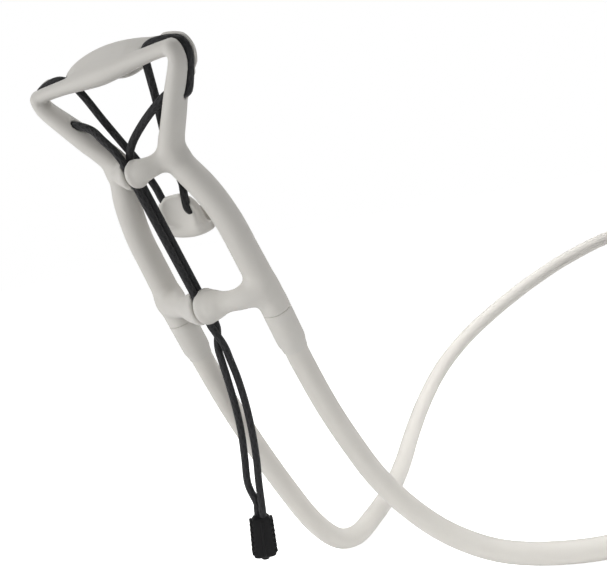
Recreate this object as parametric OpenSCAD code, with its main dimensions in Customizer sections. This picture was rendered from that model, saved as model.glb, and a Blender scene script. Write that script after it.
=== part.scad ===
// Neck-worn holder: a soft one-piece frame clamps a flat slab between its hook
// and a cup on a drawcord, and a bendable neck loop carries the frame.
//
// The head is drawn in its own frame: X along the slab, Y up the slab's face,
// Z out of the slab's back, with the origin at the middle of the slab's seat.
// It is then leaned back and lifted, and the whole part is centred over its
// footprint with the ground at Z = 0.

/* [Seat] */
// Height of the seat between the hook and the cup
seat_w = 77.9; // [66:0.1:84]
// Thickness of the seat
seat_t = 7.3; // [6:0.1:10]
// Clearance between the seat and what closes round it
seat_gap = 0.4; // [0.2:0.1:0.8]

/* [Head] */
// Height of the seat's middle above the ground
head_h = 226; // [200:1:260]
// Lean of the head from upright, in degrees
lean = 22; // [12:1:30]
// Half the distance between the two top corners
corner_x = 42; // [38:0.5:48]
// Depth of the top bar's middle line below the seat's top edge
bar_drop = 3; // [2:0.1:4]
// Distance of the bars' middle plane from the seat's middle plane
bar_z = 10; // [9:0.1:12]
// Radius of the top bar and the corners
bar_r = 3; // [2.6:0.1:4]
// Radius of the arms halfway down
arm_r = 4.2; // [3.6:0.1:5.2]
// Radius of the legs at the seam with the sleeves
leg_r = 6.65; // [6:0.05:7.2]
// Half the distance between the two legs at the seam
leg_x = 28.8; // [26:0.1:32]
// Distance of the seam below the seat's top edge
seam_drop = 121.7; // [118:0.1:135]

/* [Cleats] */
// Distance of the upper cleat below the seat's top edge
upper_drop = 43.3; // [41:0.1:46]
// Radius of the upper cleat's disc
upper_r = 6.2; // [5.5:0.1:7]
// Distance of the lower cleat below the seat's top edge
lower_drop = 109.7; // [104:0.1:112]
// Radius of the lower cleat's disc
lower_r = 8; // [7:0.1:9]
// Height of the cord line over the seat's middle plane
cleat_z = 20.4; // [19.5:0.1:22]
// Gap between the two discs of a cleat
cleat_gap = 1.2; // [0.8:0.1:1.6]

/* [Hook] */
// Half width of the hook where it leaves the bar
hook_w = 26; // [20:0.5:30]
// Height of the hook's crest over the seat's top edge
hook_rise = 3.2; // [2.4:0.1:5]
// Extra height of the crest across the hook
hook_crest = 2.3; // [0:0.1:4]
// Reach of the hook's lip down the seat's front
hook_lip = 7; // [4:0.1:10]
// Thickness of the hook's lip
hook_t = 3; // [2.4:0.1:3.6]

/* [Cup] */
// Half width of the cup's back plate
cup_w = 11.4; // [10:0.1:13]
// Height of the back plate above the seat's bottom edge
cup_h = 17; // [15:0.5:19]
// Thickness of the back plate
cup_t = 4.6; // [4.4:0.1:5.5]
// Thickness of the cup under the seat's edge
cup_floor = 4; // [3.6:0.1:5]
// Half width of the cup under the seat's edge
cup_floor_w = 13.8; // [12.5:0.1:16]
// Reach of the cup's lip up the seat's front
cup_lip = 5.5; // [4:0.1:8]

/* [Cord] */
// Diameter of the drawcord
cord_d = 3.4; // [3:0.1:3.8]
// Clearance round the cord in its grooves and holes
cord_gap = 0.1; // [0.05:0.05:0.2]

/* [Grip] */
// Length of the grip
grip_l = 19; // [16:0.5:24]
// Width of the grip at its top
grip_top_w = 9.8; // [8.6:0.1:11]
// Width of the grip at its bottom
grip_bottom_w = 10.8; // [9.6:0.1:13]
// Thickness of the grip
grip_t = 7.4; // [7.2:0.1:9]
// Number of ridges on each side of the grip
grip_ridges = 7; // [4:1:9]
// Wall round the grip's cavity
grip_wall = 1.1; // [0.9:0.1:1.4]

/* [Neck loop] */
// Outer diameter of the neck tube
tube_d = 10.8; // [9.6:0.1:12]
// Diameter of the bendable core
core_d = 4; // [3:0.1:5]
// Outer diameter of the sleeves
sleeve_d = 13.3; // [12.6:0.1:14]
// Length of the sleeves
sleeve_l = 20.7; // [18:0.1:26]
// Depth of the neck tube inside a sleeve
tube_seat = 15; // [12:0.5:16]
// Depth of the core inside a leg
core_seat = 12; // [8:0.5:16]
// Spread of the loop to the right of the head
loop_w = 276; // [240:1:300]
// Reach of the loop behind the head
loop_d = 580; // [520:5:620]
// Highest point of the loop's rear
loop_h = 109; // [90:1:125]

/* [Hidden] */

soft_white = [0.88, 0.87, 0.85];
cord_black = [0.09, 0.09, 0.10];
grip_black = [0.12, 0.12, 0.13];
steel = [0.62, 0.63, 0.65];

tube_sides = 12;
bar_sides = 14;
cord_sides = 8;
ball_fn = 16;

top_y = seat_w / 2;
bottom_y = -seat_w / 2;
back_z = seat_t / 2;
front_z = -seat_t / 2;
bar_y = top_y - bar_drop;
upper_y = top_y - upper_drop;
lower_y = top_y - lower_drop;
seam_y = top_y - seam_drop;
cord_r = cord_d / 2;
cord_pitch = cord_d + 0.1;
tube_r = tube_d / 2;
core_r = core_d / 2;
fit_gap = 0.1;
core_gap = 0.25;
groove_out = 1.6;
cavity_top = 7;

// Plain vector helpers
function xyz(p) = [p[0], p[1], p[2]];
function unit(v) = v / norm(v);
function across(v) = abs(v[0]) < 0.8 * norm(v) ? unit(cross(v, [1, 0, 0]))
                                              : unit(cross(v, [0, 1, 0]));
function flip_x(pts) = [for (p = pts) [for (i = [0:len(p) - 1]) i == 0 ? -p[i] : p[i]]];
function reversed(pts) = [for (i = [len(pts) - 1:-1:0]) pts[i]];

// A smooth curve through all the points, with steps pieces between two of them
function spline(p0, p1, p2, p3, t) =
    (2 * p1 + (p2 - p0) * t + (2 * p0 - 5 * p1 + 4 * p2 - p3) * t * t
     + (3 * p1 - p0 - 3 * p2 + p3) * t * t * t) / 2;
function smooth(pts, steps) = concat(
    [for (i = [0:len(pts) - 2]) for (k = [0:steps - 1])
        spline(pts[max(i - 1, 0)], pts[i], pts[i + 1], pts[min(i + 2, len(pts) - 1)], k / steps)],
    [pts[len(pts) - 1]]);

// Directions along a path, and side directions that don't twist
function along(path) = [for (i = [0:len(path) - 1])
    unit(xyz(path[min(i + 1, len(path) - 1)]) - xyz(path[max(i - 1, 0)]))];
function sides_of(dirs) = [for (i = 0, s = across(dirs[0]); i < len(dirs);
    i = i + 1, s = i < len(dirs) ? unit(s - (s * dirs[i]) * dirs[i]) : s) s];
function ring(p, dir, side, r, count) = [for (k = [0:count - 1])
    xyz(p) + r * (cos(360 * k / count) * side + sin(360 * k / count) * cross(dir, side))];
function skin(rings, count) = [for (i = [0:rings - 2]) for (k = [0:count - 1])
    [i * count + k, (i + 1) * count + k, (i + 1) * count + (k + 1) % count,
     i * count + (k + 1) % count]];

// A round bar along points of the form [x, y, z, radius]
module bar(path, count = bar_sides) {
    dirs = along(path);
    sides = sides_of(dirs);
    rings = len(path);
    points = [for (i = [0:rings - 1]) each ring(path[i], dirs[i], sides[i], path[i][3], count)];
    polyhedron(points, concat(
        skin(rings, count),
        [[for (k = [0:count - 1]) k]],
        [[for (k = [count - 1:-1:0]) (rings - 1) * count + k]]), convexity = 6);
}

function with_r(path, r) = [for (p = path) [p[0], p[1], p[2], r]];

// A pipe along a path, open at both ends
module pipe(path, r_out, r_in, count) {
    dirs = along(path);
    sides = sides_of(dirs);
    rings = len(path);
    shift = rings * count;
    last = (rings - 1) * count;
    outer = [for (i = [0:rings - 1]) each ring(path[i], dirs[i], sides[i], r_out, count)];
    inner = [for (i = [0:rings - 1]) each ring(path[i], dirs[i], sides[i], r_in, count)];
    faces = skin(rings, count);
    polyhedron(concat(outer, inner), concat(
        faces,
        [for (f = faces) [f[3] + shift, f[2] + shift, f[1] + shift, f[0] + shift]],
        [for (k = [0:count - 1]) [k, (k + 1) % count, (k + 1) % count + shift, k + shift]],
        [for (k = [0:count - 1]) [last + (k + 1) % count, last + k, last + k + shift,
                                  last + (k + 1) % count + shift]]), convexity = 10);
}

// From the head's frame to the ground's, before the part is centred
function to_world(p) = [p[0], -sin(lean) * p[1] - cos(lean) * p[2],
                        cos(lean) * p[1] - sin(lean) * p[2] + head_h];
module on_head() {
    translate([0, 0, head_h]) rotate([90 + lean, 0, 0]) children();
}

// Neck loop: the points leave each sleeve in line with its leg
sleeve_end_y = seam_y - sleeve_l;
function leg_line(side, depths) = [for (d = depths) to_world([side * leg_x, seam_y - d, bar_z])];
tube_start = sleeve_l - tube_seat;
lead = [tube_start, tube_start + tube_seat / 2, sleeve_l + 1, sleeve_l + 7];
core_lead = [-core_seat, -core_seat / 2, 0, tube_start / 2];
loop_base = [276, 580, 109];
function fit_loop(p) = [p[0] > leg_x ? leg_x + (p[0] - leg_x) * (loop_w - leg_x) / (loop_base[0] - leg_x) : p[0],
                        p[1] * loop_d / loop_base[1],
                        p[2] > 40 && p[1] > 250 ? p[2] * loop_h / loop_base[2] : p[2]];
left_run = [[-26.5, 40, 97], [-22.5, 48.5, 73], [-16.8, 57.5, 48], [-11.5, 67, 26],
            [-7, 78.5, 11], [-4.5, 93, 5.7], [-5, 112, 6.6], [-10, 145, 9],
            [-19.5, 182, 13], [-31, 222, 20], [-38, 262, 31.5], [-37.5, 298, 46],
            [-28.5, 332, 61], [-13.5, 366, 75], [5, 401, 88], [28, 441, 100]];
rear_run = [[57, 488, 108], [88, 531, 100], [125, 565, 76], [165, 580, 43],
            [207, 572, 16], [244, 537, 5.8], [266, 480, 5.4], [275, 412, 5.4],
            [274, 345, 5.4], [264, 280, 5.4], [243, 222, 5.4], [214, 174, 5.4]];
right_run = [[180, 138, 5.4], [146, 112.5, 5.4], [115, 93.5, 5.8], [89, 79.4, 10.4],
             [69, 69, 21.5], [54, 61, 37], [43, 53.5, 56], [36, 47.2, 76],
             [31.4, 40, 97]];
loop_route = [for (p = concat(left_run, rear_run, right_run)) fit_loop(p)];
// No point of the loop lies lower than the tube's own radius
function above_ground(pts) = [for (p = pts) [p[0], p[1], max(p[2], tube_r)]];
tube_path = above_ground(smooth(concat(leg_line(-1, lead), loop_route,
                                       reversed(leg_line(1, lead))), 2));
core_path = above_ground(smooth(concat(leg_line(-1, concat(core_lead, lead)), loop_route,
                                       reversed(leg_line(1, concat(core_lead, lead)))), 2));

// Footprint of the part, which is centred and set on the ground
x_low = min(-corner_x - groove_out - cord_r, min([for (p = tube_path) p[0]]) - tube_r);
x_high = max([for (p = tube_path) p[0]]) + tube_r;
y_low = to_world([0, bar_y - 0.55, bar_z])[1] - bar_r - 1.2;
y_high = max([for (p = tube_path) p[1]]) + tube_r;
module in_place() {
    translate([-(x_low + x_high) / 2, -(y_low + y_high) / 2, 0]) children();
}

// Right half of the leg and arm, from the seam up to the top corner
leg_points = [[leg_x, seam_y, bar_z, leg_r],
              [leg_x, seam_y + 5, bar_z, leg_r],
              [leg_x - 0.5, lower_y + 3, bar_z, leg_r - 0.2],
              [leg_x - 1.2, lower_y + 19, bar_z, 6.2],
              [leg_x - 1.8, upper_y - 34, bar_z, 6.05],
              [leg_x - 3.8, upper_y - 23, bar_z, 6],
              [leg_x - 6.8, upper_y - 14, bar_z + 0.2, 6.05],
              [18.3, upper_y - 6, bar_z + 0.4, 5.9],
              [16.6, upper_y + 0.4, bar_z + 0.4, 5.6],
              [17.6, upper_y + 5, bar_z + 0.2, 5.2],
              [22, upper_y + 11, bar_z, 4.75],
              [27.1, upper_y + 17.6, bar_z, arm_r + 0.3],
              [32.6, upper_y + 24.8, bar_z, arm_r],
              [corner_x - 3.1, bar_y - 7.4, bar_z, arm_r - 0.5],
              [corner_x - 1.4, bar_y - 3.5, bar_z, bar_r + 0.35],
              [corner_x - 1.6, bar_y - 1.2, bar_z, bar_r + 0.3]];
bar_points = [[corner_x - 2.4, bar_y - 0.3, bar_z, bar_r + 0.2],
              [34, bar_y + 0.1, bar_z, bar_r - 0.1],
              [22, bar_y, bar_z, bar_r + 0.1],
              [10, bar_y - 0.35, bar_z, bar_r + 0.8],
              [0, bar_y - 0.55, bar_z, bar_r + 1.2]];

// Stations of the cleats' arms, [x, y, z, radius], the last one behind the disc
upper_arm = [[16.5, upper_y + 0.3, bar_z + 0.8, 5.2],
             [12, upper_y + 0.2, bar_z + 4, 4.4],
             [8.2, upper_y, bar_z + 7.2, 4.2],
             [5.4, upper_y, cleat_z - 1, 4.6]];
lower_arm = [[leg_x - 1.2, lower_y + 0.6, bar_z + 1.6, 7],
             [leg_x - 5.4, lower_y + 0.2, bar_z + 5, 6],
             [19, lower_y, cleat_z - 2.6, 4.9],
             [13, lower_y, cleat_z - 1.8, 4.7],
             [8, lower_y, cleat_z - 0.8, 5]];

module ball(p, r = 0) {
    translate(xyz(p)) sphere(r > 0 ? r : p[3], $fn = ball_fn);
}

// One arm with its disc, whose flat face stands off the middle by half the gap
module cleat_half(arm, disc_y, disc_r) {
    for (i = [0:len(arm) - 2]) hull() {
        ball(arm[i]);
        ball(arm[i + 1]);
    }
    hull() {
        ball(arm[len(arm) - 1]);
        translate([cleat_gap / 2 + 1.6, disc_y, cleat_z])
            rotate([0, 90, 0]) cylinder(r = disc_r, h = 1, $fn = 2 * ball_fn);
        translate([cleat_gap / 2, disc_y, cleat_z])
            rotate([0, 90, 0]) cylinder(r = disc_r - 0.5, h = 1, $fn = 2 * ball_fn);
    }
}

// The hook is lofted along X from crescent sections that wrap the top edge
hook_steps = 10;
hook_arc = 18;
function hook_section(x) =
    let (k = cos(90 * x / hook_w),
         full = pow(k, 0.7),
         rise = 0.6 + (hook_rise - 0.6) * full,
         turn = -20 - 70 * min(1, 1.5 * k),
         lip = hook_lip * max(0, (k - 0.35) / 0.65),
         in_y = seat_gap + bar_drop,
         in_z = back_z + seat_gap,
         deep = in_z + 1.6 + (bar_z + 0.5 - in_z) * min(1, 1.6 * k),
         inner = [for (i = [0:hook_arc]) let (a = 60 + (turn - 60) * i / hook_arc)
             [bar_y + in_y * pow(cos(a * 0.98), 0.5), in_z * pow(abs(sin(a)), 0.7) * sign(a)]],
         // A crest runs across the hook, and the back is hollow between it and the bar
         outer = [for (i = [hook_arc:-1:0]) let (a = 90 + (turn - 90) * i / hook_arc,
             crest = hook_crest * full * exp(-pow((a - 12) / (a < 12 ? 14 : 20), 2)))
             [bar_y + (in_y + rise) * cos(a) + crest,
              (a > 0 ? deep : in_z + hook_t) * sin(a)]],
         tip_in = [inner[hook_arc][0] - lip, inner[hook_arc][1]],
         tip_out = [outer[0][0] - lip, outer[0][1]])
    [for (p = concat(inner, [tip_in, tip_out], outer)) [x, p[0], p[1]]];

module hook() {
    stations = [for (i = [-hook_steps:hook_steps]) hook_w * 0.985 * sin(90 * i / hook_steps)];
    sections = [for (x = stations) hook_section(x)];
    count = len(sections[0]);
    polyhedron([for (s = sections) each s], concat(
        skin(len(stations), count),
        [[for (k = [0:count - 1]) k]],
        [[for (k = [count - 1:-1:0]) (len(stations) - 1) * count + k]]), convexity = 6);
}

// Drawcord, right half: from the lower cleat up to the upper one, through the
// arm, round the corner's groove, through the hook's flank and down to the cup
strand_z = back_z + 0.1 + cord_r;
exit_y = lower_y - lower_r - 1;
strand_joint = [8.6, upper_y - 3, strand_z];
// The last bit on each side of a joint is straight, so the two end faces meet flat
joint_lead = [0.1, 1, 0];
end_gap = 0.04;
function cord_half(z) = [
    [0, exit_y, z], [0, exit_y + 8, z], [0, lower_y + 22, z], [0, upper_y - 18, z],
    [0, upper_y - 5, z], [0, upper_y + 1, z], [0.8, upper_y + 6.6, z - 0.6],
    [4.2, upper_y + 11.4, z - 2.4], [10, upper_y + 16, z - 5.2],
    [17.5, upper_y + 20, bar_z + 2.4], [24, upper_y + 23, bar_z + 0.8],
    [29, upper_y + 24.3, bar_z],
    [33, upper_y + 22.4, bar_z - 0.8], [36, upper_y + 22.4, bar_z - 1.8],
    [38.8, upper_y + 26.4, bar_z - 2.6], [41.6, upper_y + 31.4, bar_z - 3],
    [corner_x + groove_out, bar_y - 4, bar_z - 3.2],
    [corner_x + groove_out - 1, bar_y + 0.2, bar_z - 3.2],
    [corner_x - 2.6, bar_y + groove_out + 0.3, bar_z - 3.1],
    [34, bar_y + groove_out + 1.4, bar_z - 3], [28.4, bar_y + 3.2, bar_z - 3.1],
    [24.6, bar_y + 2.1, bar_z - 3.4], [21.8, bar_y - 0.8, bar_z - 4.1],
    [20.4, bar_y - 4.2, strand_z + 0.2], [18.8, bar_y - 9.4, strand_z],
    [16.4, bar_y - 18, strand_z], [12.4, upper_y + 10, strand_z],
    [9.6, upper_y + 2, strand_z], strand_joint + joint_lead];
front_cord_z = cleat_z - cord_pitch / 2;
rear_cord_z = cleat_z + cord_pitch / 2;
right_cord_path = concat(smooth(cord_half(front_cord_z), 2), [strand_joint]);
left_cord_path = concat(smooth(flip_x(cord_half(rear_cord_z)), 2), flip_x([strand_joint]));

// Strands from the frame down into the cup
cup_top_y = bottom_y + cup_h;
cup_start = strand_joint - end_gap * joint_lead;
cup_z = back_z + seat_gap + cup_t / 2;
right_cup_path = concat([cup_start], smooth([strand_joint - joint_lead,
    [8.4, upper_y - 8.6, strand_z], [8.6, cup_top_y + 4.4, cup_z - 0.3],
    [8.8, cup_top_y + 1.2, cup_z + 1], [8.8, cup_top_y - 1.8, cup_z + 1.9],
    [8.4, cup_top_y - 5, cup_z + 1.9], [7.8, cup_top_y - 7.8, cup_z + 1.2],
    [7.4, cup_top_y - 10.4, cup_z + 0.3], [7.2, cup_top_y - 12.6, cup_z]], 2));
left_cup_path = flip_x(concat([cup_start], smooth([strand_joint - joint_lead,
    [7.6, upper_y - 8.6, strand_z], [6.6, cup_top_y + 4, strand_z + 0.2],
    [6, cup_top_y + 0.4, cup_z - 0.1], [5.8, cup_top_y - 3, cup_z],
    [5.8, cup_top_y - 6, cup_z]], 3)));

// Everything that the cord runs through is cut by the cord and its clearance
module cord_cut() {
    for (side = [-1, 1]) {
        path = side > 0 ? right_cord_path : left_cord_path;
        bar(with_r(path, cord_r + cord_gap), cord_sides);
    }
}

module frame_half() {
    bar(smooth(leg_points, 2));
    bar(smooth(bar_points, 2));
    ball([corner_x - 1.7, bar_y - 0.8, bar_z, bar_r + 0.3]);
    // Thin lip behind the cord's groove round the corner
    for (i = [0:len(groove_lip) - 2]) hull() {
        ball(groove_lip[i], 1.7);
        ball(groove_lip[i + 1], 1.7);
    }
    cleat_half(upper_arm, upper_y, upper_r);
    cleat_half(lower_arm, lower_y, lower_r);
}
groove_lip = [[33, upper_y + 21, bar_z - 3.2], [39.4, upper_y + 28.2, bar_z - 4.4],
              [corner_x + 1.6, bar_y - 5, bar_z - 4.7], [corner_x + 1, bar_y + 0.4, bar_z - 4.7],
              [corner_x - 4, bar_y + 1.4, bar_z - 4.4], [24, bar_y + 0.6, bar_z - 3.4]];

module core_socket() {
    for (side = [-1, 1])
        translate([side * leg_x, seam_y - 1, bar_z]) rotate([-90, 0, 0])
            cylinder(r = core_r + core_gap, h = core_seat + 1.4, $fn = 16);
}

module seat_block() {
    translate([-corner_x - 20, bottom_y - seat_gap, front_z - seat_gap])
        cube([2 * corner_x + 40, seat_w + 2 * seat_gap, seat_t + 2 * seat_gap]);
}

module holder_frame() {
    color(soft_white) in_place() on_head() difference() {
        union() {
            frame_half();
            mirror([1, 0, 0]) frame_half();
            hook();
        }
        seat_block();
        cord_cut();
        core_socket();
    }
}

// A sleeve: seated on the leg's end, bored for the neck tube and for the core
module sleeve(side) {
    taper = 5.2;
    color(soft_white) in_place() on_head()
        translate([side * leg_x, seam_y, bar_z]) rotate([90, 0, 0]) rotate_extrude($fn = 48)
            polygon([[core_r + core_gap, 0], [sleeve_d / 2, 0], [sleeve_d / 2, sleeve_l - taper],
                     [sleeve_d / 2 - 0.5, sleeve_l - 0.6 * taper],
                     [tube_r + 0.5, sleeve_l - 0.2 * taper], [tube_r + 0.35, sleeve_l],
                     [tube_r + fit_gap, sleeve_l], [tube_r + fit_gap, tube_start],
                     [core_r + core_gap, tube_start]]);
}
module left_sleeve() sleeve(-1);
module right_sleeve() sleeve(1);

module neck_tube() {
    color(soft_white) in_place() pipe(tube_path, tube_r, core_r + core_gap, tube_sides);
}
module neck_core() {
    color(steel) in_place() bar(with_r(core_path, core_r), cord_sides);
}

// The cup: a back plate with a thumb dish, a floor under the edge and a lip
plate_z = back_z + seat_gap + cup_t / 2;
plate_r = cup_t / 2;
floor_y = bottom_y - seat_gap - cup_floor + plate_r;
lip_z = front_z - seat_gap - 1.5;
module rounded_bar(half, y, z, r) {
    for (s = [-1, 1]) translate([s * (half - r), y, z]) sphere(r, $fn = 20);
}
module lower_cup() {
    color(soft_white) in_place() on_head() difference() {
        union() {
            hull() {
                rounded_bar(cup_w, bottom_y + 4, plate_z, plate_r);
                rounded_bar(cup_w, bottom_y + cup_h * 0.6, plate_z, plate_r);
                rounded_bar(cup_w * 0.62, cup_top_y - plate_r - 0.2, plate_z, plate_r);
            }
            hull() {
                rounded_bar(cup_w, bottom_y + 4, plate_z, plate_r);
                rounded_bar(cup_floor_w, floor_y + 2, plate_z - 2.2, plate_r);
                rounded_bar(cup_floor_w - 3.4, floor_y, plate_z - 2.2, plate_r);
            }
            hull() {
                rounded_bar(cup_floor_w, floor_y + 2, plate_z - 2.2, plate_r);
                rounded_bar(cup_floor_w - 3.4, floor_y, plate_z - 2.2, plate_r);
                rounded_bar(cup_floor_w - 1.6, floor_y + 1, lip_z + 1, plate_r);
            }
            hull() {
                rounded_bar(cup_floor_w - 1.6, floor_y + 1, lip_z + 1, plate_r);
                rounded_bar(cup_w, floor_y + 1, lip_z, 1.5);
                rounded_bar(cup_w * 0.8, bottom_y + cup_lip - 1.5, lip_z, 1.5);
            }
        }
        seat_block();
        translate([0, bottom_y + cup_h * 0.48, plate_z + plate_r + 5.2])
            scale([1, 1.1, 1]) sphere(7.6, $fn = 32);
        bar(with_r(right_cup_path, cord_r + cord_gap), cord_sides);
        bar(with_r(left_cup_path, cord_r + cord_gap), cord_sides);
    }
}

module cord_solid(path) {
    color(cord_black) in_place() bar(with_r(path, cord_r), cord_sides);
}
module left_drawcord() on_head_cord(left_cord_path);
module right_drawcord() on_head_cord(right_cord_path);
module left_cup_strand() on_head_cord(left_cup_path);
module right_cup_strand() on_head_cord(right_cup_path);
module on_head_cord(path) {
    color(cord_black) in_place() on_head() bar(with_r(path, cord_r), cord_sides);
}

// Free strands: they leave the lower cleat, part a little and meet at the grip
function drop_from(z, depth) = to_world([0, exit_y - depth, z]);
grip_x = 1.5;
grip_y = 13.7;
grip_top = 52.4;
grip_turn = 42;
grip_tilt = 5;
strand_turn = -55;
strand_half = cord_pitch / 2 + 0.1;
function grip_point(s, height) =
    let (x = s * strand_half * cos(strand_turn), v = s * strand_half * sin(strand_turn),
         u = x * cos(grip_tilt) + height * sin(grip_tilt))
    [grip_x + u * cos(grip_turn) - v * sin(grip_turn),
     grip_y + u * sin(grip_turn) + v * cos(grip_turn),
     grip_top + height * cos(grip_tilt) - x * sin(grip_tilt)];
// The two strands cross once under the cleat, so each enters the grip on the other side
left_pull_route = concat([drop_from(rear_cord_z, 1)],
    [[0.3, 10.3, 141.5], [1.2, 11.25, 138.3], [2, 12.4, 135], [2.2, 13.7, 131.5],
     [2.2, 14.8, 127], [3.2, 16.2, 117], [4, 17, 104], [4.2, 17, 91], [4.1, 16.2, 79],
     [3.6, 14.9, 68]], [grip_point(1, 6)]);
right_pull_route = concat([drop_from(front_cord_z, 1)],
    [[-0.4, 13.8, 141.5], [-1.15, 13.95, 138.3], [-1.5, 13.1, 135], [-1.2, 12.4, 131.5],
     [-0.6, 12.3, 127], [-0.1, 13.2, 116], [0, 14.3, 104], [0, 14.4, 92], [-0.7, 13.8, 80],
     [-1.3, 12.9, 68]], [grip_point(-1, 6)]);
function pull_path(z, side, route) = concat([drop_from(z, end_gap)], smooth(route, 2),
    [grip_point(side, 2.5), grip_point(side, end_gap - cavity_top)]);
module left_pull_strand() cord_solid(pull_path(rear_cord_z, 1, left_pull_route));
module right_pull_strand() cord_solid(pull_path(front_cord_z, -1, right_pull_route));

// The grip: a ribbed shell round the knot, closed below by a plug
module at_grip() {
    in_place() translate([grip_x, grip_y, grip_top]) rotate([0, grip_tilt, grip_turn]) children();
}
cavity_w = grip_top_w - 2 * grip_wall;
cavity_t = grip_t - 2 * grip_wall;
plug_l = 2.6;
module grip_body() {
    pitch = (grip_l - 3) / grip_ridges;
    color(grip_black) at_grip() difference() {
        union() {
            translate([0, grip_t / 2, 0]) rotate([90, 0, 0]) linear_extrude(grip_t)
                polygon([[-grip_top_w / 2 + 1.2, 0], [grip_top_w / 2 - 1.2, 0],
                         [grip_top_w / 2, -1.4], [grip_bottom_w / 2, -grip_l + 1.6],
                         [grip_bottom_w / 2 - 1.4, -grip_l], [1.4 - grip_bottom_w / 2, -grip_l],
                         [-grip_bottom_w / 2, -grip_l + 1.6], [-grip_top_w / 2, -1.4]]);
            for (i = [0:grip_ridges - 1]) {
                z = -2.2 - pitch * (i + 0.5);
                half = (grip_top_w + (grip_bottom_w - grip_top_w) * -z / grip_l) / 2;
                for (s = [-1, 1]) translate([s * (half - 0.15), 0, z])
                    rotate([90, 0, 0]) cylinder(r = 0.75, h = grip_t - 1, center = true, $fn = 16);
            }
            for (s = [-1, 1]) translate([0, s * grip_t / 2, -grip_l / 2])
                cylinder(r = 0.9, h = grip_l - 3, center = true, $fn = 20);
        }
        for (s = [-1, 1]) rotate([0, 0, strand_turn])
            translate([s * strand_half, 0, -cavity_top - 1])
                cylinder(r = cord_r + cord_gap, h = cavity_top + 2, $fn = 24);
        translate([-cavity_w / 2, -cavity_t / 2, -grip_l - 1])
            cube([cavity_w, cavity_t, grip_l + 1 - cavity_top]);
    }
}
module grip_plug() {
    color(grip_black) at_grip() union() {
        translate([0.15 - cavity_w / 2, 0.15 - cavity_t / 2, -grip_l])
            cube([cavity_w - 0.3, cavity_t - 0.3, plug_l]);
        translate([0, 0, -grip_l - 1.6]) cylinder(r = 2, h = 1.8, $fn = 32);
    }
}
module cord_knot() {
    knot_l = grip_l - cavity_top - plug_l - 0.6;
    color(cord_black) at_grip() union() {
        translate([0, 0, -cavity_top - knot_l / 2]) resize([cavity_w - 0.4, cavity_t - 0.4, knot_l])
            sphere(knot_l / 2, $fn = 20);
    }
}

holder_frame();
left_sleeve();
right_sleeve();
neck_tube();
neck_core();
lower_cup();
left_drawcord();
right_drawcord();
left_cup_strand();
right_cup_strand();
left_pull_strand();
right_pull_strand();
grip_body();
grip_plug();
cord_knot();
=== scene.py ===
from math import cos, pi, radians, sin
import bpy
import numpy as np
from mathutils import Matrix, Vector


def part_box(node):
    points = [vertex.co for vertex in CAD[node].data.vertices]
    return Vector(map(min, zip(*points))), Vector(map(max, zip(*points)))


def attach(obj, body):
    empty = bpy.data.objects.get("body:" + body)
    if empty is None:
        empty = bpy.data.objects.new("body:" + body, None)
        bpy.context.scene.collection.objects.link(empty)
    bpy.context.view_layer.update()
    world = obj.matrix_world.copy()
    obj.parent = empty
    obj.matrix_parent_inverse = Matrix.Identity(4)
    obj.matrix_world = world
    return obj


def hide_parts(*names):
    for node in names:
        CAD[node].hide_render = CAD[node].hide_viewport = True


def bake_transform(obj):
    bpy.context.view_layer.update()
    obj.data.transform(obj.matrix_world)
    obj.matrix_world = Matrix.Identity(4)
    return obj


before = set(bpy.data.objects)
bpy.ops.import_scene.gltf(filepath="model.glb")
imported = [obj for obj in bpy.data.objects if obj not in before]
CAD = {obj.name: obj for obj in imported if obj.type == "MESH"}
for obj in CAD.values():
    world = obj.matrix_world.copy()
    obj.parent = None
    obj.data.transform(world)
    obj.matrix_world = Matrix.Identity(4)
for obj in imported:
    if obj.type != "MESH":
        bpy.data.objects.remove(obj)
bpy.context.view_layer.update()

# ---------------------------------------------------------------------------
# Places. The head is drawn in its own frame, in millimetres: x along the seat,
# y up the seat's face, z out of the seat's back. head() leans it back and puts
# it in the part's frame, in metres. ground() does the same for upright points.

LEAN = radians(22)
HEAD_HEIGHT = 226
SLEEVES_BEHIND = 0.025189  # metres from the part's middle to the sleeves' middle


def middle(node):
    low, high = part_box(node)
    return (np.array(low) + np.array(high)) / 2


MIDDLE_X = (middle("left_sleeve")[0] + middle("right_sleeve")[0]) / 2
MIDDLE_Y = middle("right_sleeve")[1] - SLEEVES_BEHIND


def ground(points):
    points = np.atleast_2d(np.array(points, float))
    return points / 1000 + np.array([MIDDLE_X, MIDDLE_Y, 0])


def upright(points):
    points = np.atleast_2d(np.array(points, float))
    x, y, z = points[:, 0], points[:, 1], points[:, 2]
    return np.stack([x, -sin(LEAN) * y - cos(LEAN) * z,
                     cos(LEAN) * y - sin(LEAN) * z + HEAD_HEIGHT], 1)


def head(points):
    return ground(upright(points))


def flip_x(points):
    return [[-p[0], *p[1:]] for p in points]


def smooth(points, steps):
    """A curve through all the points, with steps pieces between two of them."""
    p = np.array(points, float)
    out = []
    for i in range(len(p) - 1):
        a, b, c, d = p[max(i - 1, 0)], p[i], p[i + 1], p[min(i + 2, len(p) - 1)]
        for k in range(steps):
            t = k / steps
            out.append((2 * b + (c - a) * t + (2 * a - 5 * b + 4 * c - d) * t * t
                        + (3 * b - a - 3 * c + d) * t ** 3) / 2)
    return np.array(out + [p[-1]])


# ---------------------------------------------------------------------------
# Camera, where the picture was taken from

camera = bpy.data.objects.new("camera", bpy.data.cameras.new("camera"))
camera.data.lens = 48.3175
camera.data.sensor_width = 36
camera.data.clip_start = 0.01
camera.location = ground([[245.8, -259.2, 186.8]])[0]
camera.rotation_euler = (radians(84.4006), radians(11.4672), radians(34.3966))
bpy.context.scene.collection.objects.link(camera)
bpy.context.scene.camera = camera

# ---------------------------------------------------------------------------
# Sizes and routes, in millimetres, for the most part as the solids have them

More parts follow.
